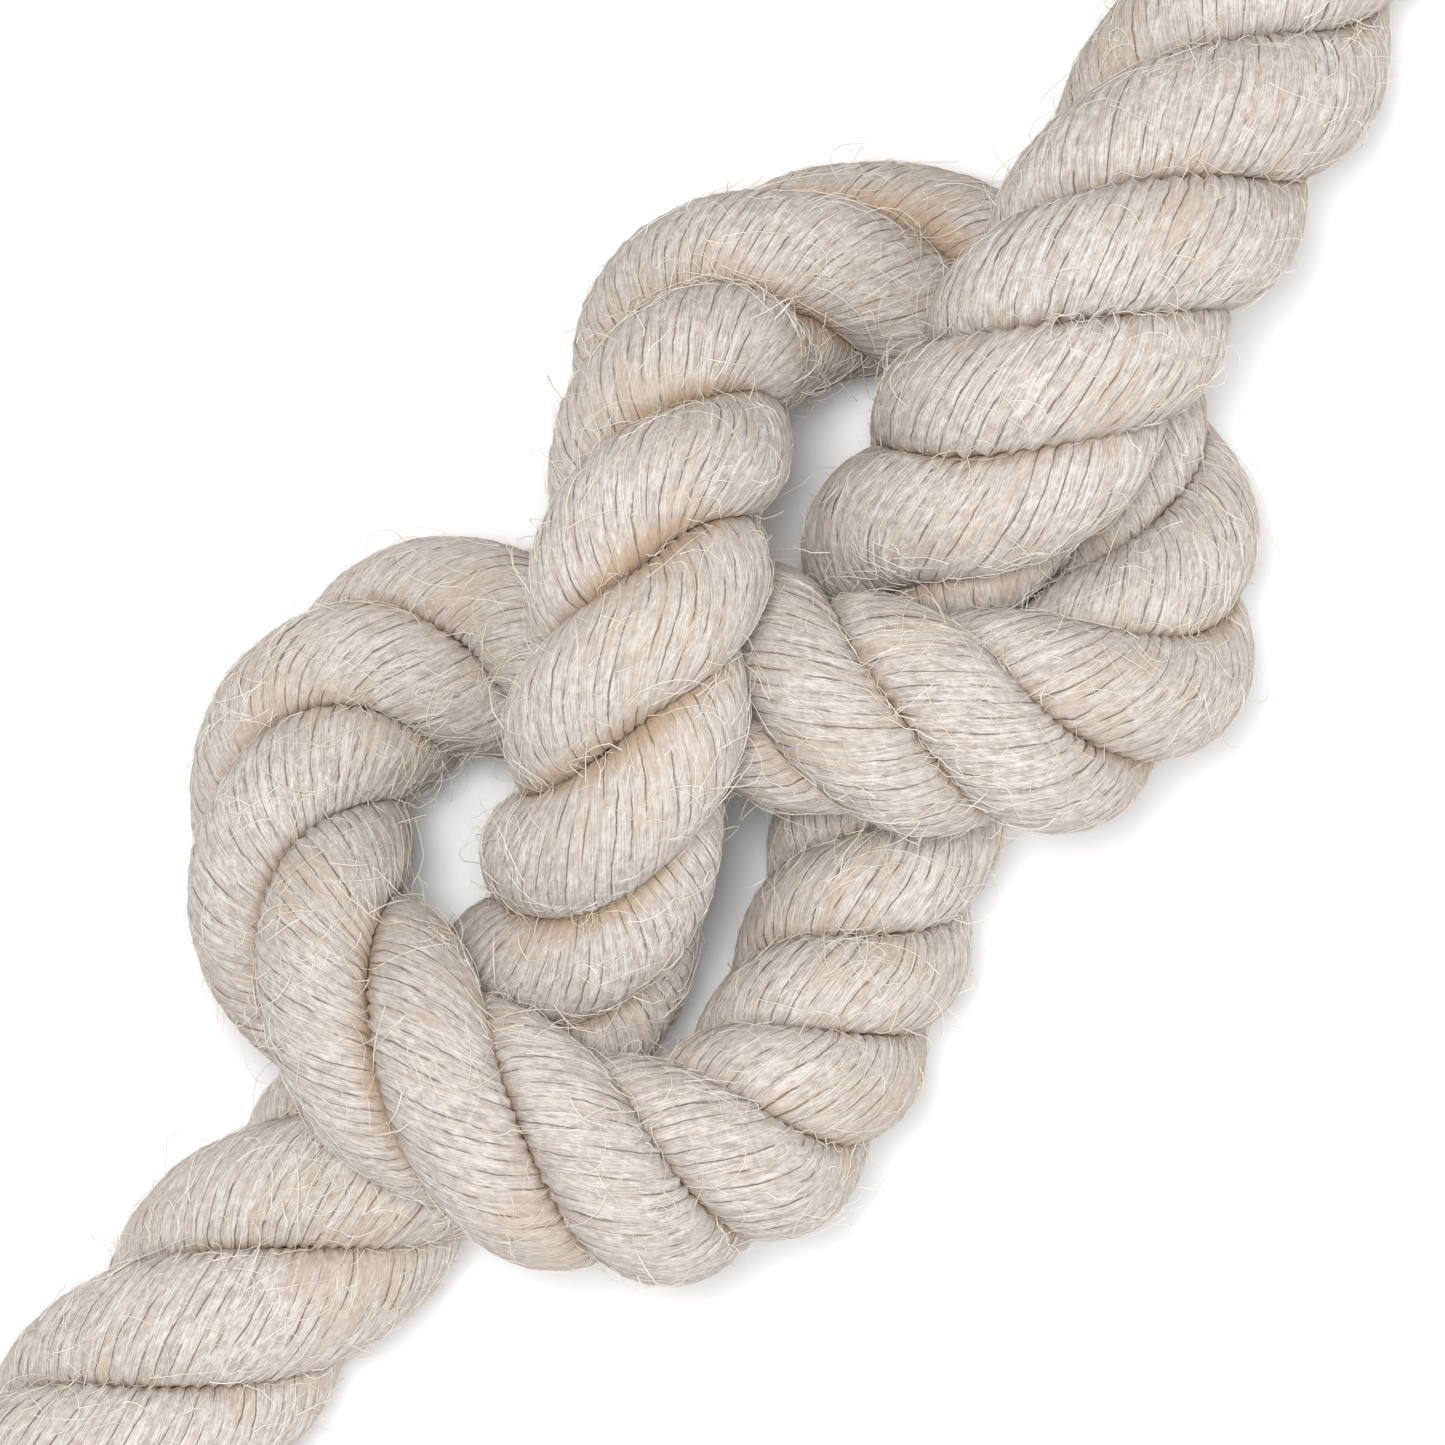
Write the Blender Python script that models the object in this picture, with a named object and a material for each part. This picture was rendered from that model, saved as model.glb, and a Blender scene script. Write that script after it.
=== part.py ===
"""A dock line: a heavy three-strand rope with a figure-eight knot near one end and the rest in a coil.

Metres, +Z up. The line lies on z = 0, and the origin is under the middle of its box.
"""

import math

import bmesh
import bpy
from mathutils import Vector

for existing in list(bpy.data.objects):
    bpy.data.objects.remove(existing, do_unlink=True)

ROPE_D = 0.028  # the rope's nominal diameter, a turn's width in the coil
TUBE_R = 0.012  # its firm core, which never overlaps where the knot crosses itself
GAP = 0.0003  # between pieces that touch
FLOOR_Z = ROPE_D / 2  # height of the rope's middle where it lies on the ground

KNOT_AT = Vector((0.0400, -0.1695, 0.0))  # the knot's own middle
COIL_AT = Vector((0.0, 0.1085, 0.0))  # the coil's middle
COIL_R = 5 * ROPE_D  # radius at the middle of the turns
LAYER_RISE = ROPE_D * math.sqrt(3) / 2  # a turn lies in the groove of the two below it
COIL_STEPS = 72
SLOT_R = FLOOR_Z + 0.001  # open to the ground below the lead

WHIPPING_LENGTH = 0.026
WHIPPING_R = FLOOR_Z
END_STUB = 0.005  # rope that stands out past its whipping

TIE_ANGLES = (20, 110, 200)  # degrees round the coil
TIE_WIDTH = 0.012
TIE_THICK = 0.003
TIE_GAP = 0.0007  # a straight band round a curved coil

COIL_END_FROM = 250  # degrees round the coil where the rope's other end comes up on top
COIL_END_SPAN = 42
COIL_END_Z = FLOOR_Z + 2 * LAYER_RISE + 0.002  # in the top groove, with its whipping clear of the turns

# The middle of the rope in millimetres from the knot's middle, from the whipped end to the coil.
ROUTE_MM = (
    (-101.5, -112.0, 14.0), (-87.0, -98.5, 14.0), (-71.5, -84.0, 14.0), (-60.0, -73.0, 14.0),
    (-52.0, -64.0, 14.0), (-44.0, -55.0, 14.0), (-32.5, -44.0, 14.0), (-23.0, -36.5, 15.0),
    (-17.0, -27.0, 21.5), (-14.0, -18.0, 34.0), (-12.0, -9.0, 47.5), (-10.0, 2.0, 54.5),
    (-8.0, 13.5, 54.0), (-7.0, 21.0, 49.5), (-5.0, 32.0, 39.0), (-1.5, 42.5, 28.5),
    (3.5, 48.5, 22.5), (13.0, 52.5, 16.5), (23.5, 49.5, 14.0), (30.0, 45.0, 14.0),
    (39.0, 37.0, 14.0), (45.0, 27.0, 14.5), (47.0, 12.5, 20.5), (42.0, 4.0, 29.0),
    (32.5, 0.0, 36.5), (17.5, 1.0, 40.5), (8.0, 3.5, 37.0), (-3.0, 6.5, 27.0),
    (-16.5, 8.0, 18.0), (-24.5, 8.0, 15.0), (-35.5, 4.0, 14.0), (-43.0, -3.5, 16.0),
    (-45.5, -13.5, 21.0), (-43.5, -23.5, 28.5), (-35.0, -35.0, 37.5), (-26.0, -42.0, 39.5),
    (-15.0, -46.5, 37.5), (-4.5, -46.0, 32.5), (4.0, -40.5, 25.5), (9.5, -31.0, 19.5),
    (12.5, -24.0, 16.5), (16.0, -13.0, 14.5), (19.0, -1.5, 14.0), (20.5, 6.0, 14.5),
    (21.5, 13.0, 17.5), (23.5, 21.5, 26.5), (31.5, 31.5, 37.5), (37.5, 41.5, 39.0),
    (43.0, 51.5, 35.5), (50.0, 63.0, 26.5), (55.5, 74.5, 18.5), (62.0, 88.5, 14.5),
    (70.5, 106.0, 14.0), (80.5, 127.5, 14.0), (91.5, 152.5, 14.0), (101.5, 177.0, 14.0),
)
TUBE_POINTS = 78


def material(name, color, roughness):
    made = bpy.data.materials.new(name)
    made.use_nodes = True
    shader = made.node_tree.nodes["Principled BSDF"]
    shader.inputs["Base Color"].default_value = (*color, 1.0)
    shader.inputs["Roughness"].default_value = roughness
    shader.inputs["Metallic"].default_value = 0.0
    return made


ROPE_FIBRE = material("rope_fibre", (0.63, 0.57, 0.50), 0.9)
COIL_FIBRE = material("coil_fibre", (0.60, 0.54, 0.47), 0.9)
END_FIBRE = material("end_fibre", (0.66, 0.59, 0.51), 0.9)
WHIPPING_TWINE = material("whipping_twine", (0.50, 0.42, 0.32), 0.8)
TIE_TWINE = material("tie_twine", (0.45, 0.36, 0.26), 0.8)


def smooth_line(points, count):
    """Points at even spacing along a smooth curve through the given ones."""
    fine = []
    padded = [2 * points[0] - points[1], *points, 2 * points[-1] - points[-2]]
    for a, b, c, d in zip(padded, padded[1:], padded[2:], padded[3:]):
        for step in range(24):
            t = step / 24
            fine.append(
                0.5 * (2 * b + (c - a) * t + (2 * a - 5 * b + 4 * c - d) * t**2 + (3 * b - a - 3 * c + d) * t**3)
            )
    fine.append(points[-1])
    along = [0.0]
    for a, b in zip(fine, fine[1:]):
        along.append(along[-1] + (b - a).length)
    line, place = [], 0
    for k in range(count):
        target = along[-1] * k / (count - 1)
        while place < len(fine) - 2 and along[place + 1] < target:
            place += 1
        share = (target - along[place]) / (along[place + 1] - along[place])
        line.append(fine[place].lerp(fine[place + 1], share))
    return line


def add_object(name, data, finish):
    made = bpy.data.objects.new(name, data)
    bpy.context.scene.collection.objects.link(made)
    data.materials.append(finish)
    return made


def add_mesh(name, mesh, finish, auto_smooth=35):
    bmesh.ops.recalc_face_normals(mesh, faces=mesh.faces)
    data = bpy.data.meshes.new(name)
    mesh.to_mesh(data)
    mesh.free()
    data.shade_smooth()
    data.set_sharp_from_angle(angle=math.radians(auto_smooth))
    return add_object(name, data, finish)


def add_tube(name, line, radius, finish):
    """A round bar along the line, closed at both ends."""
    curve = bpy.data.curves.new(name, "CURVE")
    curve.dimensions = "3D"
    curve.bevel_depth = radius
    curve.bevel_resolution = 4
    curve.use_fill_caps = True
    spline = curve.splines.new("POLY")
    spline.points.add(len(line) - 1)
    for point, place in zip(spline.points, line):
        point.co = (*place, 1.0)
    return add_object(name, curve, finish)


def hide_cutter(cutter):
    cutter.hide_render = True
    cutter.display_type = "WIRE"


def cut(target, cutter):
    hide_cutter(cutter)
    boolean = target.modifiers.new("cut", "BOOLEAN")
    boolean.operation = "DIFFERENCE"
    boolean.object = cutter


def on_coil(degrees, radius, height):
    angle = math.radians(degrees)
    return COIL_AT + Vector((radius * math.cos(angle), radius * math.sin(angle), height))


def arc(centre, radius, start, end, steps):
    """Points of an arc in the coil's section, as distance from its axis and height."""
    angles = [math.radians(start + (end - start) * k / steps) for k in range(steps + 1)]
    return [(centre[0] + radius * math.cos(a), centre[1] + radius * math.sin(a)) for a in angles]


# Middles of the outer turns in the coil's section: three turns below, two in the grooves above.
OUTER_LOW = (COIL_R + ROPE_D, FLOOR_Z)
OUTER_HIGH = (COIL_R + ROPE_D / 2, FLOOR_Z + LAYER_RISE)
INNER_HIGH = (COIL_R - ROPE_D / 2, FLOOR_Z + LAYER_RISE)
INNER_LOW = (COIL_R - ROPE_D, FLOOR_Z)


def coil_ring():
    """The outer shape of the five turns, turned round the coil's axis."""
    turn = ROPE_D / 2
    outline = (
        arc(OUTER_LOW, turn, -90, 50, 7)
        + arc(OUTER_HIGH, turn, 10, 170, 8)
        + arc(INNER_HIGH, turn, 10, 170, 8)
        + arc(INNER_LOW, turn, 130, 270, 7)
    )
    mesh = bmesh.new()
    corners = [mesh.verts.new(COIL_AT + Vector((r, 0.0, z))) for r, z in outline]
    edges = [mesh.edges.new(pair) for pair in zip(corners, corners[1:] + corners[:1])]
    bmesh.ops.spin(
        mesh, geom=corners + edges, cent=COIL_AT, axis=(0, 0, 1), angle=math.tau, steps=COIL_STEPS, use_merge=True
    )
    bmesh.ops.remove_doubles(mesh, verts=mesh.verts, dist=1e-6)
    return add_mesh("rope_coil", mesh, COIL_FIBRE)


def tie_outline(offset, base):
    """A loop round the coil's section, that far outside its turns and flat along the bottom."""
    turn = ROPE_D / 2 + offset
    start = math.degrees(math.asin((base - FLOOR_Z) / turn))
    return (
        arc(OUTER_LOW, turn, start, 30, 5)
        + arc(OUTER_HIGH, turn, 30, 90, 4)
        + arc(INNER_HIGH, turn, 90, 150, 4)
        + arc(INNER_LOW, turn, 150, 180 - start, 5)
    )


def add_tie(name, degrees):
    """A band of twine round the whole section of the coil."""
    inner = tie_outline(TIE_GAP, TIE_THICK)
    outer = tie_outline(TIE_GAP + TIE_THICK, 0.0)
    angle = math.radians(degrees)
    along = Vector((-math.sin(angle), math.cos(angle), 0.0)) * TIE_WIDTH / 2
    mesh = bmesh.new()
    loops = []
    for outline in (inner, outer):
        for side in (-along, along):
            loops.append([mesh.verts.new(on_coil(degrees, r, z) + side) for r, z in outline])
    inner_back, inner_front, outer_back, outer_front = loops
    count = len(inner)
    for one, other in (
        (inner_back, inner_front),
        (inner_front, outer_front),
        (outer_front, outer_back),
        (outer_back, inner_back),
    ):
        for k in range(count):
            after = (k + 1) % count
            mesh.faces.new((one[k], one[after], other[after], other[k]))
    return add_mesh(name, mesh, TIE_TWINE)


def add_tie_notch(degrees):
    """The dent that a tie presses into the bottom of the coil."""
    angle = math.radians(degrees)
    mesh = bmesh.new()
    bmesh.ops.create_cube(mesh, size=1.0)
    size = Vector((5 * ROPE_D, TIE_WIDTH + 2 * GAP, 2 * (TIE_THICK + GAP)))
    bmesh.ops.scale(mesh, vec=size, verts=mesh.verts)
    data = bpy.data.meshes.new("tie_notch")
    mesh.to_mesh(data)
    mesh.free()
    notch = add_object(f"tie_notch_{degrees}", data, COIL_FIBRE)
    notch.location = on_coil(degrees, COIL_R, 0.0)
    notch.rotation_euler.z = angle
    return notch


def add_lead_slot(start, end):
    """The straight way by which the lead runs into the coil's outer low turn."""
    way = end - start
    mesh = bmesh.new()
    bmesh.ops.create_cone(
        mesh, cap_ends=True, segments=24, radius1=SLOT_R, radius2=SLOT_R, depth=way.length + GAP
    )
    bmesh.ops.translate(mesh, vec=(0, 0, (way.length + GAP) / 2), verts=mesh.verts)
    slot = add_mesh("lead_slot", mesh, COIL_FIBRE)
    slot.rotation_mode = "QUATERNION"
    slot.rotation_quaternion = way.to_track_quat("Z", "Y")
    slot.location = start
    return slot


def add_whipping(name, start, direction):
    """A sleeve of twine round the rope's end."""
    mesh = bmesh.new()
    section = ((TUBE_R + GAP, 0.0), (WHIPPING_R, 0.0), (WHIPPING_R, WHIPPING_LENGTH), (TUBE_R + GAP, WHIPPING_LENGTH))
    corners = [mesh.verts.new((r, 0.0, z)) for r, z in section]
    edges = [mesh.edges.new(pair) for pair in zip(corners, corners[1:] + corners[:1])]
    bmesh.ops.spin(mesh, geom=corners + edges, cent=(0, 0, 0), axis=(0, 0, 1), angle=math.tau, steps=32, use_merge=True)
    bmesh.ops.remove_doubles(mesh, verts=mesh.verts, dist=1e-6)
    sleeve = add_mesh(name, mesh, WHIPPING_TWINE)
    sleeve.rotation_mode = "QUATERNION"
    sleeve.rotation_quaternion = direction.to_track_quat("Z", "Y")
    sleeve.location = start
    return sleeve


route = [KNOT_AT + Vector(point) / 1000 for point in ROUTE_MM]
knot_line = smooth_line(route, TUBE_POINTS)
add_tube("rope_knot_and_lead", knot_line, TUBE_R, ROPE_FIBRE)

ring = coil_ring()
cut(ring, add_lead_slot(route[-4], knot_line[-1]))
for number, degrees in enumerate(TIE_ANGLES, 1):
    cut(ring, add_tie_notch(degrees))
    add_tie(f"coil_tie_{number}", degrees)

straight_end = END_STUB + WHIPPING_LENGTH + END_STUB
arc_span = COIL_END_SPAN - math.degrees(straight_end / COIL_R)
coil_end_line = [on_coil(COIL_END_FROM + arc_span * k / 10, COIL_R, COIL_END_Z) for k in range(11)]
last_turned = math.radians(COIL_END_FROM + arc_span)
end_way = Vector((-math.sin(last_turned), math.cos(last_turned), 0.0))
coil_end_line += [coil_end_line[-1] + end_way * straight_end * k / 2 for k in (1, 2)]
add_tube("rope_coil_end", coil_end_line, TUBE_R, END_FIBRE)

tail_way = (knot_line[1] - knot_line[0]).normalized()
add_whipping("whipping_knot_end", knot_line[0] + tail_way * END_STUB, tail_way)
add_whipping("whipping_coil_end", coil_end_line[-1] - end_way * END_STUB, -end_way)
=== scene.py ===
import math

import bmesh
import bpy
import numpy as np
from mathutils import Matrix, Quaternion, Vector
from mathutils.bvhtree import BVHTree
from mathutils.kdtree import KDTree


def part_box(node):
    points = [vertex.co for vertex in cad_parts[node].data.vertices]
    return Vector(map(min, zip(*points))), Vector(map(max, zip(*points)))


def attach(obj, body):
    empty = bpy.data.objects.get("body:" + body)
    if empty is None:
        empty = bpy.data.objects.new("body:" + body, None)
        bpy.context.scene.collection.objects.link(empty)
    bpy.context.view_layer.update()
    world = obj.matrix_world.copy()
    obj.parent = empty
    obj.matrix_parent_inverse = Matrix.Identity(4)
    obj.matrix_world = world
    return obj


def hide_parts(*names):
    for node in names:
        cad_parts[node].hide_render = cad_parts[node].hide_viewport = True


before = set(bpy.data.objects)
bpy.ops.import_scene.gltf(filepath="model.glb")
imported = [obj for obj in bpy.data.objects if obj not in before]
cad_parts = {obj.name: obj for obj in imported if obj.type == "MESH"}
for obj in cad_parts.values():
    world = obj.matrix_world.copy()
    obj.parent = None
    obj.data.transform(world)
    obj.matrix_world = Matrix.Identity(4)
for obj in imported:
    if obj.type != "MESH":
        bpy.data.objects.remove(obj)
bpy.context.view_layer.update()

# The line as it is laid: one stretch through the knot, then five turns of a coil.
rope = {
    "diameter": 0.028,
    "length": 5.0,
    "knotAt": (0.0400, -0.1695, 0.0),
    "strands": 3,
    "strandRadius": 0.0078,  # full roundness, before neighbours flatten it
    "helixRadius": 0.0063,
    "restLay": 0.060,  # length of one full turn of the strands where the rope lies easy
    "yarns": 20,
    "yarnPitch": 0.034,
    "yarnDepth": 0.026,  # depth of the groove between yarns, as a share of the strand's radius
    "columnsPerYarn": 3,
    "yarnRise": 0.018,  # how much single yarns rise and sink
    "yarnWander": 0.4,  # how far the yarns turn ahead or behind, in radians
    "swelling": 0.02,
    "gap": 0.00004,  # between strands that press on each other
    "thinnest": 0.002,
    "ownRings": 12,  # a strand's rings closer than this along it are not its neighbours
    "knotRing": 0.0016,  # distance between rings, measured along a strand
    "coilRing": 0.0056,
    "knotSlack": 1.45,  # length of strand in a length of rope
    "coilSlack": 1.16,
    "smoothFrom": 0.72,  # from here on the yarns are in the material only
    "closeUntil": 0.75,
    "closeEnd": 0.045,
    "fade": 0.040,
    "seamShadeFrom": 0.0130,  # painted shade of the seams between strands starts at this distance off the rope's middle
    "seamShadeDepth": 0.0035,
    "endSqueeze": 0.86,  # how far a whipping pulls the rope in
    "endFlare": 0.97,
    "whippedFrom": 0.005,
    "whippedTo": 0.031,
    "endRound": 0.0035,
    "endTip": 0.35,  # size of the last ring, as a share of the strand
}

# Middle of the rope in millimetres from the knot's middle, from its whipped end to the coil.
routePoints = (
    (-101.5, -112.0, 14.0), (-87.8, -97.9, 14.0), (-72.3, -83.2, 14.0), (-60.9, -72.1, 14.0),
    (-53.0, -63.1, 14.0), (-44.9, -54.3, 14.0), (-32.9, -43.7, 14.0), (-23.0, -36.5, 14.8),
    (-17.0, -27.0, 20.0), (-14.0, -18.0, 30.0), (-12.0, -9.0, 40.8), (-10.0, 2.0, 46.4),
    (-8.0, 13.5, 46.0), (-7.0, 21.0, 42.4), (-5.0, 32.0, 34.0), (-3.0, 41.5, 25.6),
    (2.3, 46.3, 20.8), (12.0, 49.1, 16.0), (22.5, 47.7, 14.0), (28.8, 44.2, 14.0),
    (37.8, 37.0, 14.0), (44.0, 27.0, 14.4), (46.5, 12.5, 19.2), (42.0, 4.0, 26.0),
    (32.5, 0.0, 32.0), (17.5, 1.0, 35.2), (8.0, 3.5, 32.4), (-3.0, 6.5, 24.4),
    (-16.5, 8.0, 17.2), (-25.5, 8.8, 14.8), (-36.9, 5.2, 14.0), (-44.4, -2.9, 15.6),
    (-46.5, -13.5, 19.6), (-44.0, -23.5, 25.6), (-35.0, -35.0, 32.8), (-26.0, -42.5, 34.4),
    (-14.7, -47.5, 32.8), (-3.7, -47.8, 28.8), (5.6, -42.3, 23.2), (11.4, -32.0, 18.4),
    (14.4, -24.5, 16.0), (17.7, -13.0, 14.4), (20.0, -1.5, 14.0), (21.0, 6.0, 14.4),
    (21.5, 13.0, 16.8), (23.5, 21.5, 24.0), (31.3, 31.5, 32.8), (37.8, 41.8, 34.0),
    (44.2, 52.0, 31.2), (51.8, 63.6, 24.0), (57.5, 75.0, 17.6), (63.2, 88.7, 14.4),
    (71.5, 106.0, 14.0), (80.5, 127.5, 14.0), (91.5, 152.5, 14.0), (101.5, 177.0, 14.0),
)

# Distances along the rope, in millimetres, where a seam between two strands lies uppermost.
seamsOnTop = (
    37, 57, 77, 98, 121, 142, 160.5, 176, 192.5, 210.5, 248.5, 264, 281, 296, 310.5, 325, 339, 356,
    377.5, 394, 416, 437, 456.5, 470, 482.5, 495, 508, 521, 538, 557.5, 574.5, 587, 602, 621.5, 644, 664,
)

# Millimetres along the rope and its thickness there: drawn tight inside the knot, full outside it.
girthMarks = (
    (0, 1.04), (70, 1.08), (100, 1.02), (127, 0.92), (528, 0.9),
    (572, 1.05), (622, 1.14), (678, 1.05), (738, 1.0),
)

# How far the strands lean along the rope where the knot drags its upper side, as a slope.
leanMarks = (
    (0, 0), (100, 0), (122, 0.5), (205, 0.5), (245, 0.2), (285, 0),
    (465, 0), (485, 0.35), (535, 0.35), (565, 0.1), (590, 0), (760, 0),
)

coilSettings = {
    "radii": (0.168, 0.140, 0.112, 0.126, 0.154),
    "heights": (0.014, 0.014, 0.014, 0.03825, 0.03825),
    "joinAngle": -20,  # degrees round the coil where the lead has become its first turn
    "shift": 46,  # degrees that the rope takes to move over to the next turn
    "endFrom": 250,
    "endSpan": 42,
    "endRadius": 0.140,
    "endHeight": 0.0645,
    "straightEnd": 0.036,
    "pointsPerTurn": 40,
}


def smoothLine(points, steps):
    # a curve through every point, with each point's slope set by its two neighbours
    padded = np.vstack([2 * points[0] - points[1], points, 2 * points[-1] - points[-2]])
    t = (np.arange(steps) / steps)[:, None]
    made = []
    for k in range(len(points) - 1):
        a, b, c, d = padded[k:k + 4]
        bend, swing = 2 * a - 5 * b + 4 * c - d, 3 * b - a - 3 * c + d
        made.append(0.5 * (2 * b + (c - a) * t + bend * t**2 + swing * t**3))
    made.append(points[-1:])
    return np.vstack(made)


def distances(line):
    return np.concatenate([[0.0], np.cumsum(np.linalg.norm(np.diff(line, axis=0), axis=1))])


def atDistances(line, along, wanted):
    return np.stack([np.interp(wanted, along, line[:, k]) for k in range(3)], axis=1)


def evenly(line, step):
    along = distances(line)
    count = max(2, int(round(along[-1] / step)) + 1)
    return atDistances(line, along, np.linspace(0.0, along[-1], count))


def softened(values, reach):
    # a running average that keeps both ends where they are
    kernel = np.hanning(2 * reach + 3)[1:-1]
    kernel /= kernel.sum()
    flat = values.reshape(len(values), -1)
    out = np.empty_like(flat)
    for k in range(flat.shape[1]):
        column = flat[:, k]
        before = 2 * column[0] - column[reach:0:-1]
        after = 2 * column[-1] - column[-2:-reach - 2:-1]
        out[:, k] = np.convolve(np.concatenate([before, column, after]), kernel, "valid")
    return out.reshape(values.shape)


def coilMiddle():
    low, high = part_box("rope_coil")
    return np.array([(low[0] + high[0]) / 2, (low[1] + high[1]) / 2, 0.0])


def coilLine(s):
    middle = coilMiddle()
    turns = len(s["radii"])
    lastAngle = s["endFrom"] + 360 * (turns - 1)
    points = []
    for angle in np.arange(s["joinAngle"], lastAngle - s["shift"] / 2, 360 / s["pointsPerTurn"]):
        place = (angle - s["joinAngle"]) / 360
        turn = min(int(place), turns - 1)
        share = max(0.0, ((place - turn) * 360 - 360 + s["shift"]) / s["shift"])
        share = share * share * (3 - 2 * share)
        after = min(turn + 1, turns - 1)
        radius = s["radii"][turn] * (1 - share) + s["radii"][after] * share
        height = s["heights"][turn] * (1 - share) + s["heights"][after] * share
        points.append((radius, angle, height))
    arcEnd = s["endSpan"] - math.degrees(s["straightEnd"] / s["endRadius"])
    for share in (0.15, 0.5, 1.0):
        points.append((s["endRadius"], lastAngle + arcEnd * share, s["endHeight"]))
    placed = []
    for radius, angle, height in points:
        a = math.radians(angle)
        placed.append(middle + np.array([radius * math.cos(a), radius * math.sin(a), height]))
    last = math.radians(lastAngle + arcEnd)
    way = np.array([-math.sin(last), math.cos(last), 0.0])
    placed += [placed[-1] + way * s["straightEnd"] * share for share in (0.5, 1.0)]
    return np.array(placed)


knotPart = np.array(routePoints) / 1000 + np.array(rope["knotAt"])
fineRoute = smoothLine(np.vstack([knotPart, coilLine(coilSettings)]), 24)
ropeLine = evenly(fineRoute, 0.001)
ropeAlong = distances(ropeLine)
knotEnd = distances(smoothLine(knotPart, 24))[-1]
print(f"rope {ropeAlong[-1]:.3f} m, knot and lead {knotEnd:.3f} m")

# The camera looks straight down on the knot, and width is what it sees at the knot's middle height.
viewSettings = {"width": 0.156, "lens": 300.0, "sensor": 36.0, "middleHeight": 0.030}


def makeCamera(s):
    data = bpy.data.cameras.new("camera")
    data.lens, data.sensor_width = s["lens"], s["sensor"]
    data.clip_start, data.clip_end = 0.05, 20.0
    made = bpy.data.objects.new("camera", data)
    bpy.context.scene.collection.objects.link(made)
    away = s["width"] * s["lens"] / s["sensor"]
    made.location = (rope["knotAt"][0], rope["knotAt"][1], s["middleHeight"] + away)
    bpy.context.scene.camera = made


makeCamera(viewSettings)


# arithmetic on a shader socket
class Maths:
    def __init__(self, finish, socket):
        self.finish, self.socket = finish, socket

    def does(self, operation, *values):
        return self.finish.add("ShaderNodeMath", {"operation": operation}, dict(enumerate(values)))

    def __add__(self, other):
        return self.does("ADD", self, other)

    def __radd__(self, other):
        return self.does("ADD", other, self)

    def __sub__(self, other):
        return self.does("SUBTRACT", self, other)

    def __rsub__(self, other):
        return self.does("SUBTRACT", other, self)

    def __mul__(self, other):
        return self.does("MULTIPLY", self, other)

    def __rmul__(self, other):
        return self.does("MULTIPLY", other, self)

    def fract(self):
        return self.does("FRACT", self)

    def unsigned(self):
        return self.does("ABSOLUTE", self)

    def pingPong(self, size):
        return self.does("PINGPONG", self, size)


# a material, and the one way its nodes are made
class Finish:
    def __init__(self, name):
        self.material = bpy.data.materials.new(name)
        self.material.use_nodes = True
        self.tree = self.material.node_tree
        self.shader = self.tree.nodes["Principled BSDF"]

    def add(self, kind, settings=None, sockets=None, output=0):
        node = self.tree.nodes.new(kind)
        for name, value in (settings or {}).items():
            setattr(node, name, value)
        self.fill(node, sockets or {})
        return Maths(self, node.outputs[output])

    def fill(self, node, sockets):
        for key, value in sockets.items():
            if isinstance(value, Maths):
                self.tree.links.new(value.socket, node.inputs[key])
            else:
                node.inputs[key].default_value = value

    def surface(self, **sockets):
        self.fill(self.shader, {key.replace("_", " "): value for key, value in sockets.items()})
        return self.material

    def mix(self, share, one, other):
        return self.add(
            "ShaderNodeMix", {"data_type": "RGBA"}, {"Factor": share, 6: one, 7: other}, output=2
        )

    def stepUp(self, value, low, high):
        return self.add(
            "ShaderNodeMapRange", {"interpolation_type": "SMOOTHSTEP"}, {0: value, 1: low, 2: high}
        )

    def noise(self, vector, scale, detail=3.0, roughness=0.6):
        return self.add(
            "ShaderNodeTexNoise", None,
            {"Vector": vector, "Scale": scale, "Detail": detail, "Roughness": roughness},
        )

    def split(self, vector):
        first = self.add("ShaderNodeSeparateXYZ", None, {0: vector})
        return [Maths(self, out) for out in first.socket.node.outputs]

    def join(self, x, y, z=0.0):
        return self.add("ShaderNodeCombineXYZ", None, {0: x, 1: y, 2: z})

    def objectPlace(self):
        return self.add("ShaderNodeTexCoord", None, None, output=3)

    def yarnPlace(self):
        # yarn number round the strand, and millimetres along it
        u, v, _ = self.split(self.add("ShaderNodeUVMap", {"uv_map": "yarnMap"}))
        return u, v

    def bump(self, height, strength, distance):
        sockets = {"Strength": strength, "Distance": distance, "Height": height}
        return self.add("ShaderNodeBump", None, sockets)


fibreColors = {
    "pale": (0.765, 0.722, 0.692, 1),
    "grey": (0.425, 0.372, 0.334, 1),
    "tan": (0.552, 0.434, 0.340, 1),
    # painted shade: darker brown deep in the seams between strands
    "seamShade": (0.500, 0.340, 0.200, 1),
    # painted shade in the grooves between yarns
    "groove": (0.175, 0.108, 0.062, 1),
    "hair": (0.820, 0.785, 0.730, 1),
    "strayPale": (0.86, 0.82, 0.75, 1),
    "strayTan": (0.72, 0.62, 0.48, 1),
}
twineColors = {
    "whipping": {"dark": (0.33, 0.25, 0.16, 1), "light": (0.58, 0.49, 0.36, 1)},
    "tie": {"dark": (0.30, 0.22, 0.13, 1), "light": (0.55, 0.44, 0.30, 1)},
}


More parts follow.
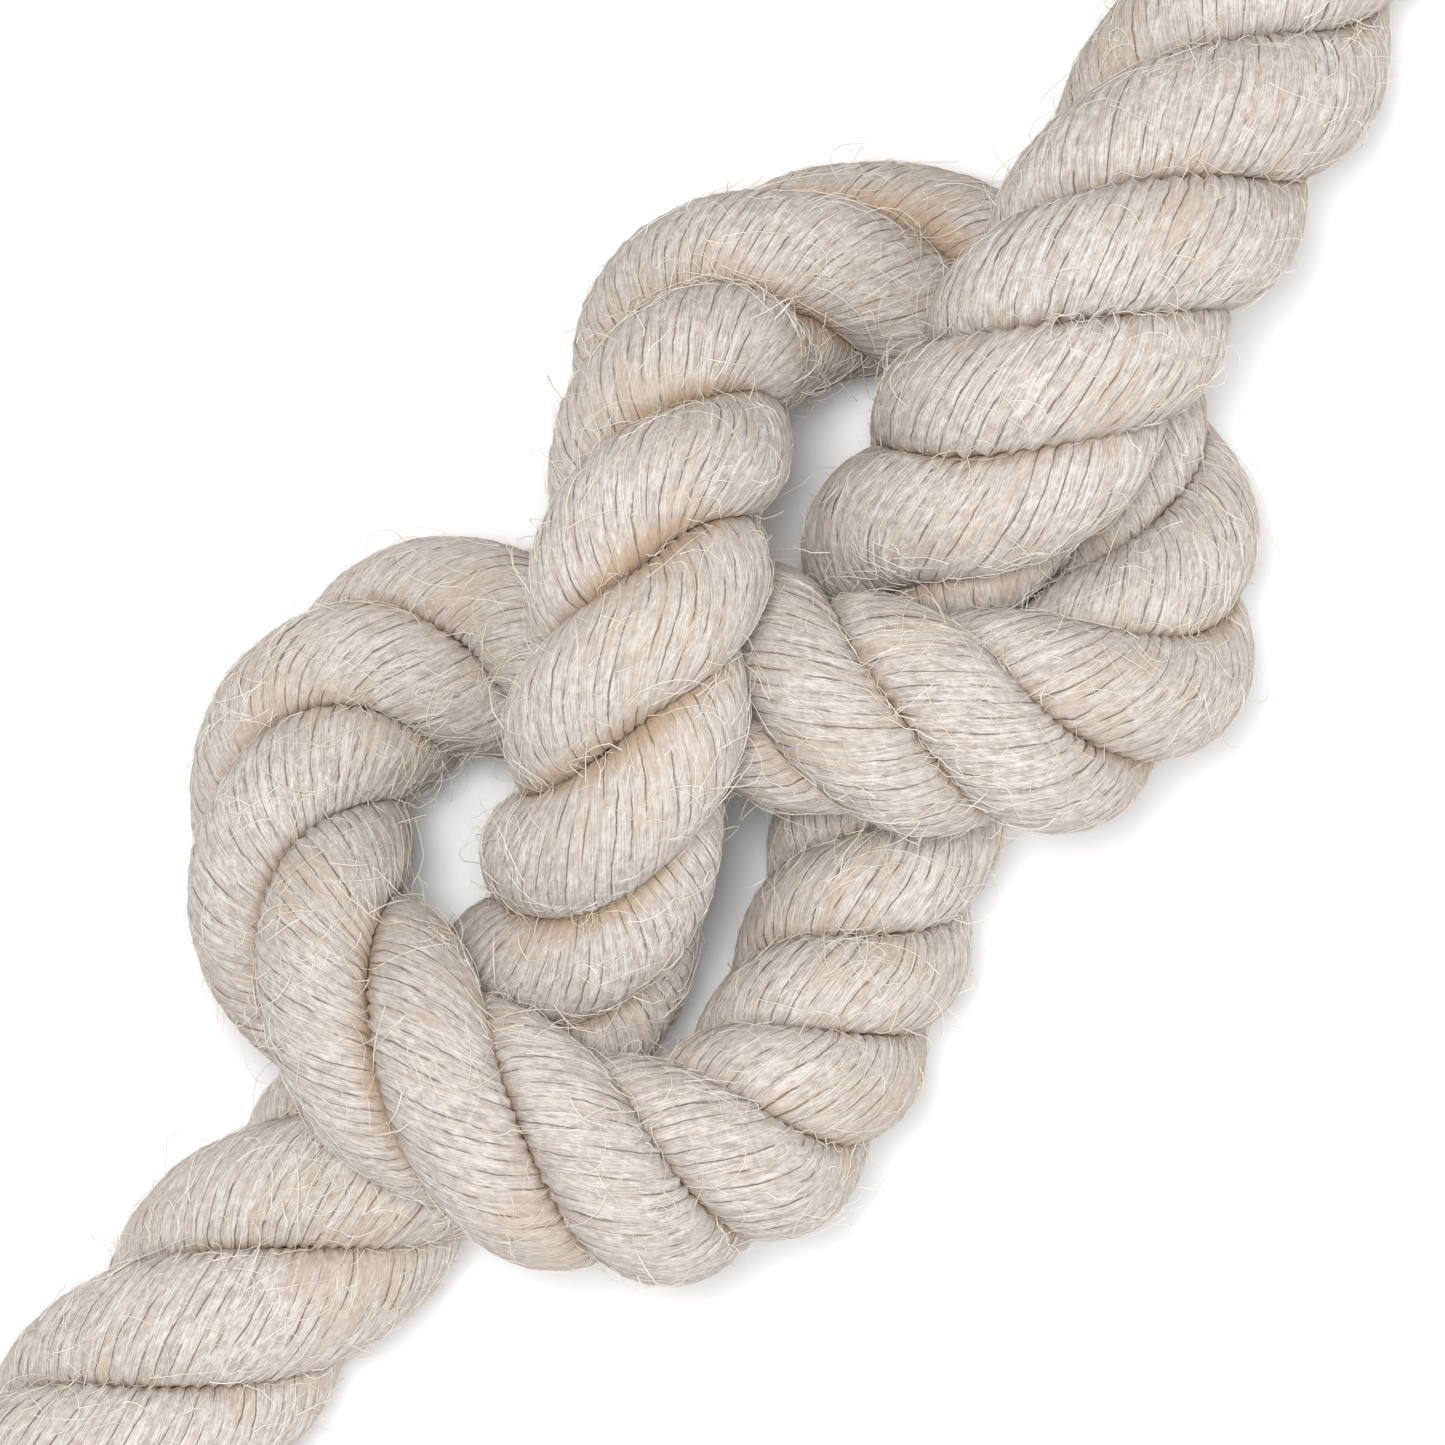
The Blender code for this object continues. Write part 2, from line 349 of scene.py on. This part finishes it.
def ropeFinish(colors):
    f = Finish("ropeFibre")
    u, v = f.yarnPlace()
    place = f.objectPlace()
    # the seam attribute carries painted shade: how deep a point lies between the strands
    seamShade = f.add("ShaderNodeAttribute", {"attribute_name": "seamShade"}, None, output=2)
    wander = (f.noise(f.join(u * 0.6, v * 0.24, 2.0), 1.0, 3.0) - 0.5) * 0.8
    fromCrest = ((u + wander).fract() - 0.5).unsigned() * 2.0
    # fine fibres lie along the yarn: many across it, few along it
    fibres = f.noise(f.join(u * 9.0 + v * 0.8, v * 0.26), 1.0, 3.0, 0.75)
    crossed = f.noise(f.join(u * 5.0 - v * 1.6, v * 0.45, 6.0), 1.0, 3.0, 0.7)
    streaks = f.noise(f.join(u * 2.4 + v * 0.20, v * 0.12, 4.0), 1.0, 3.0, 0.6)
    dashes = f.noise(f.join(u * 0.9, v * 0.24, 9.0), 1.0, 4.0, 0.65)
    patches = f.noise(place, 60.0, 3.0, 0.6)
    # painted shade: thin broken dark lines in the grooves between yarns
    grooveLine = f.stepUp(fromCrest, 0.87, 0.985) * f.stepUp(dashes, 0.43, 0.56)
    mottle = f.noise(place, 900.0, 3.0, 0.7)
    grain = f.stepUp(fibres * 0.5 + crossed * 0.25 + mottle * 0.25, 0.41, 0.58)
    body = f.mix(grain, colors["grey"], colors["pale"])
    # the tan patches and streaks are the fibre's own tone; the share that follows seam depth is painted
    # shade, warmer between the strands
    tanAndSeamShade = f.stepUp(patches, 0.40, 0.70) * 0.40 + seamShade * 0.35 + f.stepUp(streaks, 0.45, 0.68) * 0.40
    body = f.mix(tanAndSeamShade, body, colors["tan"])
    # painted shade: the fibre turns darker brown deep in the seams between strands
    body = f.mix(f.stepUp(seamShade, 0.55, 1.0) * 0.65, body, colors["seamShade"])
    body = f.mix(grooveLine * 0.80, body, colors["groove"])
    body = f.mix(f.stepUp(crossed, 0.60, 0.68) * 0.45, body, colors["hair"])
    height = fibres * 0.8 + crossed * 0.5 + streaks * 0.5 + mottle * 0.4 - grooveLine * 0.8
    return f.surface(
        Base_Color=body, Roughness=0.74 + fibres * 0.2, Normal=f.bump(height, 0.75, 0.0005),
        Sheen_Weight=0.15, Sheen_Roughness=0.5, Specular_IOR_Level=0.3,
    )


def twineFinish(name, dark, light):
    f = Finish(name)
    u, v = f.yarnPlace()
    lay = f.noise(f.join(u * 2.0 + v * 0.5, v * 0.1), 1.0, 2.0, 0.5)
    strandLine = (u * 0.25 + v * 0.35).pingPong(0.5) * 2.0
    # painted shade: the twine darkens along the grooves between its plies
    plyShade = (*(0.45 * part for part in dark[:3]), 1)
    body = f.mix(lay * 0.6 + f.noise(f.objectPlace(), 220.0) * 0.4, dark, light)
    body = f.mix(f.stepUp(strandLine, 0.75, 1.0) * 0.6, body, plyShade)
    normal = f.bump(lay * 0.4 - strandLine * 0.6, 0.8, 0.0003)
    return f.surface(Base_Color=body, Roughness=0.62 + lay * 0.2, Normal=normal)


def hairFinish(colors):
    f = Finish("strayFibre")
    place = f.objectPlace()
    body = f.mix(f.stepUp(f.noise(place, 160.0), 0.35, 0.7), colors["strayPale"], colors["strayTan"])
    return f.surface(Base_Color=body, Roughness=0.65 + f.noise(place, 300.0) * 0.2, Sheen_Weight=0.2)


ropeFibre = ropeFinish(fibreColors)
whippingTwine = twineFinish("whippingTwine", **twineColors["whipping"])
tieTwine = twineFinish("tieTwine", **twineColors["tie"])
strayFibre = hairFinish(fibreColors)
print("materials made")


def waver(along, step, seed):
    # smooth random values from -1 to 1 along a length
    knots = np.random.default_rng(seed).uniform(-1, 1, int(along[-1] / step) + 4)
    return softened(np.interp(along / step, np.arange(len(knots)), knots), 2)


def twistAlong(along):
    # every third of a turn brings the next seam to the top
    marks = np.array(seamsOnTop) / 1000
    restStep = rope["restLay"] / rope["strands"]
    extra = 4  # seams before the first mark
    after = marks[-1] + restStep * np.arange(1, int((along[-1] - marks[-1]) / restStep) + 3)
    before = marks[0] - restStep * np.arange(extra, 0, -1)
    marks = np.concatenate([before, marks, after])
    turned = math.pi / 6 + 2 * math.pi / rope["strands"] * (np.arange(len(marks)) - extra)
    return softened(np.interp(along, marks, turned), 7)


def unit(vectors):
    return vectors / np.linalg.norm(vectors, axis=1)[:, None]


def ropeFrames(line):
    # side and up directions of the rope's section, kept upright so that the seams can be placed
    ways = unit(softened(unit(np.gradient(line, axis=0)), 4))
    side = unit(np.cross((0.0, 0.0, 1.0), ways))
    return side, np.cross(ways, side)


def alongMarks(marks, along):
    # values at marks given in millimetres, blended smoothly between them
    table = np.array(marks)
    return softened(np.interp(along * 1000, table[:, 0], table[:, 1]), 9)


def girth(along):
    # the whippings pull both ends in, and the rope swells again past them
    near = np.minimum(along, along[-1] - along)
    start, end = rope["whippedFrom"], rope["whippedTo"]
    flare, pulled = rope["endFlare"], rope["endSqueeze"]
    places = (0.0, start - 0.001, start + 0.002, end - 0.002, end + 0.003, end + 0.014)
    squeeze = np.interp(near, places, (flare, flare - 0.02, pulled, pulled, flare, 1.0))
    return alongMarks(girthMarks, along) * squeeze


def strandLines():
    side, up = ropeFrames(ropeLine)
    twist = twistAlong(ropeAlong)
    reach = rope["helixRadius"] * girth(ropeAlong)
    lean = alongMarks(leanMarks, ropeAlong)
    lines = []
    for number in range(rope["strands"]):
        angle = (twist + 2 * math.pi * number / rope["strands"])[:, None]
        middle = atDistances(ropeLine, ropeAlong, ropeAlong + lean * reach * np.cos(angle[:, 0]))
        lines.append(middle + reach[:, None] * (np.cos(angle) * side + np.sin(angle) * up))
    return np.array(lines)


pressSettings = {
    "until": 0.72,
    "every": 3,
    "rounds": 30,
    "touch": 0.0125,  # distance at which two strands' middles stop pushing
    "watched": 2.5,  # pairs further apart than this many touches are left out
    "apart": 0.040,  # nearer than this along the rope, strands don't push each other
    "hold": 0.02,  # how much of each round's shift springs back
    "sideways": 0.5,  # strands give way less in plan than in height
    "lowest": 0.0075,
    "fadePoints": 12,
}


def pressApart(lines, s):
    # strands that would share space push each other aside, as they do in a drawn-up knot
    until = int(np.searchsorted(ropeAlong, s["until"]))
    start = lines[:, :until:s["every"]].copy()
    points = start.copy()
    count = points.shape[1]
    touch = s["touch"]
    place = np.tile(np.arange(count), len(lines))
    apart = np.abs(place[:, None] - place[None]) > s["apart"] * 1000 / s["every"]
    first, second = np.nonzero(np.triu(apart, 1))
    flat = start.reshape(-1, 3)
    near = np.linalg.norm(flat[first] - flat[second], axis=1) < s["watched"] * touch
    first, second = first[near], second[near]
    for _ in range(s["rounds"]):
        flat = points.reshape(-1, 3)
        between = flat[first] - flat[second]
        gap = np.linalg.norm(between, axis=1)
        inside = gap < touch
        push = between[inside] * ((touch - gap[inside]) / np.maximum(gap[inside], 1e-9))[:, None]
        moved, times = np.zeros_like(flat), np.zeros(len(flat))
        np.add.at(moved, first[inside], push)
        np.add.at(moved, second[inside], -push)
        np.add.at(times, first[inside], 1)
        np.add.at(times, second[inside], 1)
        moved[:, :2] *= s["sideways"]
        flat = flat + 0.5 * moved / np.maximum(times, 1)[:, None]
        shift = flat.reshape(points.shape) - start
        shift = np.array([softened(one, 3) for one in shift]) * (1 - s["hold"])
        points = start + shift
        points[..., 2] = np.maximum(points[..., 2], s["lowest"])
    shift = points - start
    fade = np.clip((count - 1 - np.arange(count)) / s["fadePoints"], 0, 1)[:, None]
    out = lines.copy()
    coarse = np.arange(count) * s["every"]
    for number in range(len(lines)):
        for axis in range(3):
            eased = np.interp(np.arange(until), coarse, (shift[number] * fade)[:, axis])
            out[number, :until, axis] += eased
    return out


strandMiddles = pressApart(strandLines(), pressSettings)
print("strands laid")


def turnedFrames(line):
    # directions across the line that never spin about it
    ways = unit(np.gradient(line, axis=0))
    one = np.cross(ways[0], (0.0, 0.0, 1.0))
    one /= np.linalg.norm(one)
    firsts = np.empty_like(line)
    for k, way in enumerate(ways):
        one = one - way * (one @ way)
        one /= math.sqrt(one @ one)
        firsts[k] = one
    return firsts, np.cross(ways, firsts)


def nearestOn(points):
    tree = KDTree(len(points))
    for index, point in enumerate(points):
        tree.insert(point, index)
    tree.balance()
    return tree


def squashed(radii, line, turns, others, own):
    # a point goes no further than half-way to any other strand, or down to the floor,
    # so strands press flat on each other
    firsts, seconds = turnedFrames(line)
    columns = radii.shape[1]
    reach = 2 * radii.max()
    tree = nearestOn(others)
    out = radii.copy()
    for k in range(len(line)):
        angle = 2 * math.pi * np.arange(columns) / columns + turns[k]
        ways = np.cos(angle)[:, None] * firsts[k] + np.sin(angle)[:, None] * seconds[k]
        nearby = [index for _, index, _ in tree.find_range(line[k], reach)]
        found = [i for i in nearby if own[i] < 0 or abs(own[i] - k) > rope["ownRings"]]
        if found:
            between = others[found] - line[k]
            facing = np.maximum(ways @ between.T, 1e-9)
            limit = ((between**2).sum(axis=1) / (2 * facing)).min(axis=1) - rope["gap"]
            out[k] = np.minimum(out[k], np.maximum(limit, rope["thinnest"]))
        down = -ways[:, 2]
        toFloor = line[k, 2] / np.maximum(down, 1e-9)
        out[k] = np.where(down > 0, np.minimum(out[k], toFloor), out[k])
    return out


def tubeMesh(name, line, finish, radii, turns, mapAcross, slide):
    # a flat grid of rings and columns, rolled up round the line and closed at both ends
    rings, columns = radii.shape
    sheet = bmesh.new()
    bmesh.ops.create_grid(sheet, x_segments=columns, y_segments=rings - 1, size=0.5)
    flat = np.array([vert.co[:2] for vert in sheet.verts])
    column = np.rint((flat[:, 0] + 0.5) * columns).astype(int)
    ring = np.rint((flat[:, 1] + 0.5) * (rings - 1)).astype(int)
    yarnMap = sheet.loops.layers.uv.new("yarnMap")
    across = column / columns * mapAcross + slide[ring]
    lengthways = distances(line)[ring] * 1000
    firsts, seconds = turnedFrames(line)
    angle = (2 * math.pi * column / columns + turns[ring])[:, None]
    radius = radii[ring, column % columns][:, None]
    placed = line[ring] + radius * (np.cos(angle) * firsts[ring] + np.sin(angle) * seconds[ring])
    sheet.verts.ensure_lookup_table()
    for face in sheet.faces:
        for loop in face.loops:
            index = loop.vert.index
            loop[yarnMap].uv = (across[index], lengthways[index])
    for vert, place in zip(sheet.verts, placed):
        vert.co = place
    joined = [sheet.verts[k] for k in np.flatnonzero(column % columns == 0)]
    bmesh.ops.remove_doubles(sheet, verts=joined, dist=1e-7)
    bmesh.ops.holes_fill(sheet, edges=[edge for edge in sheet.edges if edge.is_boundary], sides=0)
    bmesh.ops.recalc_face_normals(sheet, faces=sheet.faces)
    data = bpy.data.meshes.new(name)
    sheet.to_mesh(data)
    sheet.free()
    data.shade_smooth()
    data.materials.append(finish)
    made = bpy.data.objects.new(name, data)
    bpy.context.scene.collection.objects.link(made)
    return made


def ringPlaces():
    # places along ropeLine where a strand gets a ring: close together in the knot, wider in the coil
    close = (ropeAlong < rope["closeUntil"]) | (ropeAlong > ropeAlong[-1] - rope["closeEnd"])
    inKnot, inCoil = rope["knotRing"] / rope["knotSlack"], rope["coilRing"] / rope["coilSlack"]
    spacing = softened(np.where(close, inKnot, inCoil), 20)
    density = np.concatenate([[0.0], np.cumsum(0.001 / spacing[1:])])
    count = int(density[-1]) + 1
    return np.interp(np.linspace(0, density[-1], count), density, np.arange(len(ropeLine)))


def atPlaces(line, places):
    return atDistances(line, np.arange(len(line)), places)


def strandShape(number, places):
    # a strand's middle line, its yarn grooves as shares of its radius, its yarns' turn, and its radius
    line = atPlaces(softened(strandMiddles[number], 2), places)
    along = distances(line)
    yarns, perYarn = rope["yarns"], rope["columnsPerYarn"]
    share = np.arange(perYarn) / perYarn
    crest = np.clip(1 - (2 * share - 1) ** 4, 0, 1)
    relief = np.empty((len(line), yarns * perYarn))
    for yarn in range(yarns):
        rise = rope["yarnRise"] * waver(along, 0.009, 100 * (number + 1) + yarn)
        for k in range(perYarn):
            relief[:, yarn * perYarn + k] = rise * crest[k] - rope["yarnDepth"] * (1 - crest[k])
    relief *= np.clip((rope["smoothFrom"] - places / 1000) / rope["fade"], 0, 1)[:, None]
    wander = rope["yarnWander"] * waver(along, 0.03, 70 + number)
    turns = wander - 2 * math.pi * along / rope["yarnPitch"]
    swell = 1 + rope["swelling"] * waver(along, 0.018, 40 + number)
    pull = np.interp(places, np.arange(len(ropeLine)), girth(ropeAlong))
    return line, 1 + relief, turns, rope["strandRadius"] * swell * pull


def laidTurns(line, places, turns):
    # in the coil the columns follow the seams instead of the yarns, which keeps its longer faces smooth
    firsts, seconds = turnedFrames(line)
    inward = atPlaces(strandMiddles.mean(axis=0), places) - line
    angle = np.unwrap(np.arctan2((inward * seconds).sum(axis=1), (inward * firsts).sum(axis=1)))
    share = np.clip(2 * (places / 1000 - rope["smoothFrom"]) / rope["fade"], 0, 1)[1:]
    rate = np.diff(turns) * (1 - share) + np.diff(angle) * share
    return turns[0] + np.concatenate([[0.0], np.cumsum(rate)])


def paintSeamShade(data, places):
    # how deep each point lies between the strands, for the painted shade of the seams
    points = np.empty(len(data.vertices) * 3, np.float32)
    data.vertices.foreach_get("co", points)
    scale = np.interp(places, np.arange(len(ropeLine)), girth(ropeAlong))
    tree = nearestOn(atPlaces(strandMiddles.mean(axis=0), places))
    found = [tree.find(point)[1:] for point in points.reshape(-1, 3)]
    far = np.array([reach / scale[index] for index, reach in found])
    deep = np.clip((rope["seamShadeFrom"] - far) / rope["seamShadeDepth"], 0, 1)
    data.attributes.new("seamShade", "FLOAT", "POINT").data.foreach_set("value", deep.astype(np.float32))


def addStrand(number, places):
    line, relief, turns, size = strandShape(number, places)
    # every strand's own later and earlier stretches count as neighbours too
    others = np.vstack([softened(middles, 2) for middles in strandMiddles])
    own = np.full((rope["strands"], len(ropeLine)), -1.0)
    own[number] = np.interp(np.arange(len(ropeLine)), places, np.arange(len(places)))
    laid = laidTurns(line, places, turns)
    slide = rope["yarns"] * (laid - turns) / (2 * math.pi)
    full = np.repeat(size[:, None], relief.shape[1], axis=1)
    held = squashed(full, line, laid, others, own.ravel())
    along = distances(line)
    fromEnd = np.clip(np.minimum(along, along[-1] - along) / rope["endRound"], 0, 1)
    rounded = rope["endTip"] + (1 - rope["endTip"]) * np.sqrt(1 - (1 - fromEnd) ** 2)
    radii = held * relief * rounded[:, None]
    name = f"strand_{'abc'[number]}"
    strand = tubeMesh(name, line, ropeFibre, radii, laid, rope["yarns"], slide)
    paintSeamShade(strand.data, places)
    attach(strand, "root")
    return strand


ringsAt = ringPlaces()
strands = [addStrand(number, ringsAt) for number in range(rope["strands"])]
print("strands made:", [len(strand.data.polygons) for strand in strands])

hairSettings = {
    "patches": {
        "knot_low": {"low": 0.030, "high": 0.330, "seed": 5, "shortest": 0.003, "longest": 0.015},
        "knot_high": {"low": 0.330, "high": 0.680, "seed": 6, "shortest": 0.003, "longest": 0.015},
        "coil": {"low": 0.680, "high": 4.95, "seed": 7, "shortest": 0.006, "longest": 0.022},
    },
    "count": 3500,  # in each patch
    "radius": 0.00006,
    "points": 7,
    "castFrom": 0.020,
    "slant": -0.25,  # mean angle to the rope, in radians
    "slantSpread": 0.8,
    "turnSpread": 0.26,  # how much a hair turns at each point
    "lift": 0.00008,
    "liftSpread": 0.00025,
    "standing": 0.20,  # share of the hairs that rise well clear of the rope
    "standingFrom": 0.0006,
    "standingTo": 0.0030,
    "looseEnds": 0.6,  # share of the hairs whose far end is the highest
}
lowestFibre = 0.0001  # no fibre goes nearer to the floor


def fibreCurve(name, radius):
    curve = bpy.data.curves.new(name, "CURVE")
    curve.dimensions = "3D"
    curve.bevel_depth = radius
    curve.bevel_resolution = 0
    curve.use_fill_caps = True
    curve.materials.append(strayFibre)
    return curve


def addFibre(curve, places, radii):
    spline = curve.splines.new("POLY")
    spline.points.add(len(places) - 1)
    for point, at, radius in zip(spline.points, places, radii):
        point.co = (at.x, at.y, max(at.z, lowestFibre), 1.0)
        point.radius = radius


def fibrePiece(curve):
    made = bpy.data.objects.new(curve.name, curve)
    bpy.context.scene.collection.objects.link(made)
    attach(made, "root")
    return made


def addHairs(name, patch, s, skin):
    # each hair starts at a random spot of the rope's skin and wanders over it
    random = np.random.default_rng(patch["seed"])
    curve = fibreCurve(name, s["radius"])
    side, up = ropeFrames(ropeLine)
    ways = np.cross(side, up)
    last = s["points"] - 1
    for _ in range(s["count"]):
        spot = int(random.uniform(patch["low"], patch["high"]) * 1000)
        angle = random.uniform(0, 2 * math.pi)
        outward = Vector(side[spot] * math.cos(angle) + up[spot] * math.sin(angle))
        start = Vector(ropeLine[spot]) + outward * s["castFrom"]
        place, normal, _, _ = skin.ray_cast(start, -outward, s["castFrom"])
        if place is None:
            continue
        way = Vector(ways[spot])
        way.rotate(Quaternion(normal, random.normal(s["slant"], s["slantSpread"])))
        turn = random.normal(0, s["turnSpread"])
        thick = random.uniform(0.6, 1.3)
        step = random.uniform(patch["shortest"], patch["longest"]) * random.uniform(0.4, 1.0) / last
        rise = s["lift"] + abs(random.normal(0, s["liftSpread"]))
        if random.random() < s["standing"]:
            rise += random.uniform(s["standingFrom"], s["standingTo"])
        looseEnd = random.random() < s["looseEnds"]
        points = []
        for k in range(s["points"]):
            share = k / last
            height = rise * (share if looseEnd else math.sin(math.pi * share)) + s["radius"] / 2
            points.append(place + normal * height)
            way = (way - normal * way.dot(normal)).normalized()
            way.rotate(Quaternion(normal, turn))
            nearest, nearNormal, _, _ = skin.find_nearest(place + way * step + normal * 0.0005)
            place, normal = nearest, (normal + nearNormal * 2).normalized()
        addFibre(curve, points, [thick * (1.0 - 0.6 * k / last) for k in range(s["points"])])
    return fibrePiece(curve)


def ropeSkin():
    joined = bmesh.new()
    for strand in strands:
        joined.from_mesh(strand.data)
    tree = BVHTree.FromBMesh(joined)
    joined.free()
    return tree


skin = ropeSkin()
hairs = [
    addHairs(f"stray_fibres_{name}", patch, hairSettings, skin)
    for name, patch in hairSettings["patches"].items()
]

fraySettings = {
    "count": 240,  # at each end
    "radius": 0.000078,
    "shortest": 0.0015,
    "longest": 0.0045,
    "points": 4,
    "within": 0.0058,  # of a strand's middle
    "sunk": 0.0008,
    "spread": 0.225,
    "droop": 0.135,
    "seed": 11,
}


def addFray(s):
    # the cut fibres of each end stand out as a short brush
    random = np.random.default_rng(s["seed"])
    curve = fibreCurve("end_fibres", s["radius"])
    side, up = ropeFrames(ropeLine)
    for tip, facing in ((0, -1), (-1, 1)):
        outward = Vector(np.cross(side[tip], up[tip]) * facing)
        for _ in range(s["count"]):
            middle = Vector(strandMiddles[random.integers(rope["strands"]), tip]) - outward * s["sunk"]
            angle = random.uniform(0, 2 * math.pi)
            reach = s["within"] * math.sqrt(random.random())
            place = middle + Vector(side[tip] * math.cos(angle) + up[tip] * math.sin(angle)) * reach
            way = (outward + Vector(random.normal(0, s["spread"], 3))).normalized()
            droop = Vector(random.normal(0, s["droop"], 3))
            step = random.uniform(s["shortest"], s["longest"]) / (s["points"] - 1)
            points = []
            for _ in range(s["points"]):
                points.append(place)
                way = (way + droop * 0.5).normalized()
                place = place + way * step
            addFibre(curve, points, [1.0 - 0.15 * k for k in range(s["points"])])
    return fibrePiece(curve)


hairs.append(addFray(fraySettings))
print("stray fibres made")

whippingSettings = {
    "twine": 0.0008,
    "wraps": 15,
    "length": 0.026,
    "stub": 0.005,  # rope left bare past the whipping
    "radius": 0.0126,
    "perWrap": 40,
    "overlap": 1.04,
}
tieSettings = {
    "twine": 0.0016,
    "wraps": 3,
    "angles": (20, 110, 200),  # degrees round the coil
    "spread": 0.0034,  # from one wrap to the next
    "perWrap": 56,
    "knotAngle": 50,  # degrees up the outer turn's side
    # one half of the reef knot in millimetres: along the wraps, across them, and off the rope
    "bight": (
        (-13.0, 4.6, 0.9), (-9.0, 3.2, 1.0), (-5.0, 1.3, 2.2), (-1.0, 1.5, 4.0), (2.5, 2.4, 3.0),
        (4.6, 0.0, 1.4), (2.5, -2.4, 3.0), (-1.0, -1.5, 1.0), (-5.0, -1.3, 2.6), (-9.0, -3.4, 1.2),
        (-14.0, -6.0, 0.8),
    ),
}


def addTwine(name, line, radius, finish):
    columns = 10
    still = np.zeros(len(line))
    return tubeMesh(name, line, finish, np.full((len(line), columns), radius), still, columns, still)


def addWhipping(name, line, s):
    # turns of twine side by side round the start of the line
    side, up = ropeFrames(line)
    along = distances(line)
    count = s["wraps"] * s["perWrap"]
    angle = np.linspace(0, 2 * math.pi * s["wraps"], count)
    at = np.linspace(s["stub"] + s["twine"], s["stub"] + s["length"] - s["twine"], count)
    middle = atDistances(line, along, at)
    one, two = atDistances(side, along, at), atDistances(up, along, at)
    wound = middle + s["radius"] * (np.cos(angle)[:, None] * one + np.sin(angle)[:, None] * two)
    made = addTwine(f"{name}_twine", wound, s["twine"] * s["overlap"], whippingTwine)
    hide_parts(name)
    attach(made, "root")
    return made


def sectionLoop(offset, count):
    # the outside of the coil's five turns, as distance from its axis and height
    turn = rope["diameter"] / 2 + offset
    corners = ((0, -90, 30), (4, 30, 90), (3, 90, 150), (2, 150, 270))  # turn, from and to degrees
    points = []
    for number, start, end in corners:
        radius, height = coilSettings["radii"][number], coilSettings["heights"][number]
        for a in np.radians(np.linspace(start, end, 12)):
            points.append((radius + turn * math.cos(a), height + turn * math.sin(a), 0.0))
    points.append(points[0])
    loop = np.array(points)
    loop[:, 1] = np.maximum(loop[:, 1], tieSettings["twine"])
    along = distances(loop)
    return atDistances(loop, along, np.linspace(0, along[-1], count, endpoint=False))


def addTie(number, degrees, s):
    middle = coilMiddle()
    angle = math.radians(degrees)
    upward = np.array([0.0, 0.0, 1.0])
    out = np.array([math.cos(angle), math.sin(angle), 0.0])
    way = np.array([-math.sin(angle), math.cos(angle), 0.0])
    loop = sectionLoop(s["twine"] * 0.6, s["perWrap"])
    turns = np.tile(loop, (s["wraps"], 1))
    drift = (np.arange(len(turns)) / s["perWrap"] - s["wraps"] / 2) * s["spread"]
    line = middle + turns[:, :1] * out + turns[:, 1:2] * upward + drift[:, None] * way
    line = smoothLine(line, 2)
    made = addTwine(f"coil_tie_{number}_wraps", line, s["twine"], tieTwine)
    # a reef knot on the outer upper side: two hooked bights whose short ends lie round the turn below
    seat = middle + out * coilSettings["radii"][4] + upward * coilSettings["heights"][4]
    reach = rope["diameter"] / 2 + s["twine"] * 1.9
    bights = []
    for half, turnedTo in ((1, 1), (2, -1)):
        shape = smoothLine(np.array(s["bight"]) / 1000, 6) * (turnedTo, turnedTo, 1)
        bend = math.radians(s["knotAngle"]) - shape[:, :1] / reach
        placed = seat + (reach + shape[:, 2:]) * (np.cos(bend) * out + np.sin(bend) * upward)
        placed = placed + shape[:, 1:2] * way
        bights.append(addTwine(f"coil_tie_{number}_bight_{half}", placed, s["twine"], tieTwine))
    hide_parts(f"coil_tie_{number}")
    for piece in [made, *bights]:
        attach(piece, "root")
    return [made, *bights]


whippings = [
    addWhipping("whipping_knot_end", ropeLine, whippingSettings),
    addWhipping("whipping_coil_end", ropeLine[::-1], whippingSettings),
]
ties = []
for number, degrees in enumerate(tieSettings["angles"], 1):
    ties += addTie(number, degrees, tieSettings)
print("whippings and ties made")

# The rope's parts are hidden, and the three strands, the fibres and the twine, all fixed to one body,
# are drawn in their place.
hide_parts("rope_knot_and_lead", "rope_coil", "rope_coil_end")

studio = {
    "floorSize": 6.0,
    "floorHeight": -0.0002,
    "floorColor": (0.93, 0.93, 0.93, 1),
    "sky": 0.56,
    "key": {"place": (-0.14, 0.11, 1.60), "size": 0.45, "power": 19.5},
    "fill": {"place": (0.8, -0.5, 1.2), "size": 1.2, "power": 7.0},
}


def makeStudio(s):
    sheet = bmesh.new()
    bmesh.ops.create_grid(sheet, x_segments=1, y_segments=1, size=s["floorSize"] / 2)
    bmesh.ops.translate(sheet, verts=sheet.verts, vec=(0, 0, s["floorHeight"]))
    data = bpy.data.meshes.new("floor")
    sheet.to_mesh(data)
    sheet.free()
    finish = Finish("floorPaper")
    grain = finish.noise(finish.objectPlace(), 90.0)
    data.materials.append(finish.surface(Base_Color=s["floorColor"], Roughness=0.9 + grain * 0.05))
    floor = bpy.data.objects.new("floor", data)
    bpy.context.scene.collection.objects.link(floor)
    aim = Vector((rope["knotAt"][0], rope["knotAt"][1], 0.0))
    for name in ("key", "fill"):
        light = bpy.data.lights.new(name, "AREA")
        light.shape, light.size, light.energy = "DISK", s[name]["size"], s[name]["power"]
        lamp = bpy.data.objects.new(name, light)
        bpy.context.scene.collection.objects.link(lamp)
        lamp.location = aim + Vector(s[name]["place"])
        lamp.rotation_mode = "QUATERNION"
        lamp.rotation_quaternion = (aim - lamp.location).to_track_quat("-Z", "Y")
    world = bpy.data.worlds.new("studio")
    bpy.context.scene.world = world
    world.use_nodes = True
    sky = world.node_tree.nodes["Background"]
    sky.inputs["Color"].default_value = (1, 1, 1, 1)
    sky.inputs["Strength"].default_value = s["sky"]
    bpy.context.scene.view_settings.view_transform = "Standard"


makeStudio(studio)
print("studio made")
